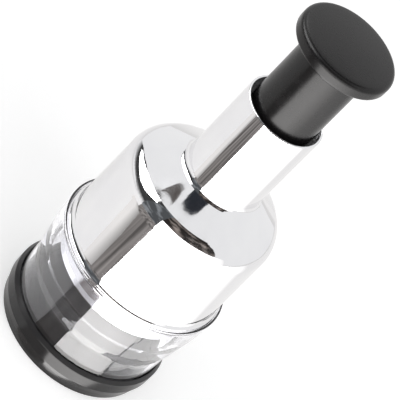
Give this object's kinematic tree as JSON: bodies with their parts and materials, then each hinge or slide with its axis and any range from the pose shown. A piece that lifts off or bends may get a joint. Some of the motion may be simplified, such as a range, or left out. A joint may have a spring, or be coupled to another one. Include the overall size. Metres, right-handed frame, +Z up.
{
  "type": "plunger food chopper",
  "caption": "Hand-pressed food chopper: a sprung plunger drives a folded, self-indexing blade down into a clear cup on a lift-off base.",
  "frame": {"origin": "on the tool's axis, in the flat underside of the base, where it stands on the table", "axes": "+Z up along the plunger's axis, towards the knob; +X along the blade's row of folds at rest, +Y completes the frame"},
  "size_m": [0.092, 0.092, 0.2292],
  "materials": {
    "chrome_shell": "mirror",
    "black_plastic": "satin",
    "clear_plastic": "clear",
    "white_plastic": "satin",
    "polished_steel": "polished",
    "blade_steel": "ground",
    "steel": "plain",
    "spring_steel": "drawn",
    "stop_rubber": "matte"
  },
  "bodies": {
    "base": {"base_cap": "black_plastic"},
    "cup": {"clear_cup": "clear_plastic"},
    "housing": {"chrome_housing": "chrome_shell", "inner_chassis": "white_plastic", "chassis_screws": "steel", "neck_bush": "black_plastic", "stop_bumper": "stop_rubber", "spring_seat": "steel", "blade_guard": "polished_steel", "wiper_retainer": "spring_steel", "index_ring": "white_plastic"},
    "wiper": {"wiper_disc": "black_plastic"},
    "plunger": {"knob": "black_plastic", "plunger_stem": "black_plastic", "drive_rod": "steel", "rod_nut": "steel", "spring_cap": "white_plastic", "blade_clip": "spring_steel", "return_spring": "spring_steel"},
    "blade_set": {"blade_strip": "blade_steel", "blade_holder": "white_plastic", "index_cam": "white_plastic"}
  },
  "joints": [
    {"name": "cup_lift", "type": "slide", "parent": "base", "child": "cup", "axis": [0, 0, 1], "range_m": [0, 0.03]},
    {"name": "housing_lift", "type": "slide", "parent": "cup", "child": "housing", "axis": [0, 0, 1], "range_m": [0, 0.03]},
    {"name": "plunger_press", "type": "slide", "parent": "housing", "child": "plunger", "axis": [0, 0, -1], "range_m": [0, 0.04], "stiffness_N_per_m": 250, "springref_m": -0.02, "deforming": ["return_spring"]},
    {"name": "blade_index", "type": "hinge", "parent": "plunger", "child": "blade_set", "pos_m": [0, 0, 0.097], "axis": [0, 0, 1], "range_deg": [0, 45]},
    {"name": "wiper_turn", "type": "hinge", "parent": "housing", "child": "wiper", "pos_m": [0, 0, 0.0516], "axis": [0, 0, 1], "range_deg": [0, 45]}
  ],
  "couplings": [
    {"joint": "blade_index", "follows": "plunger_press", "rad_per_m": 19.6},
    {"joint": "wiper_turn", "follows": "plunger_press", "rad_per_m": 19.6}
  ]
}
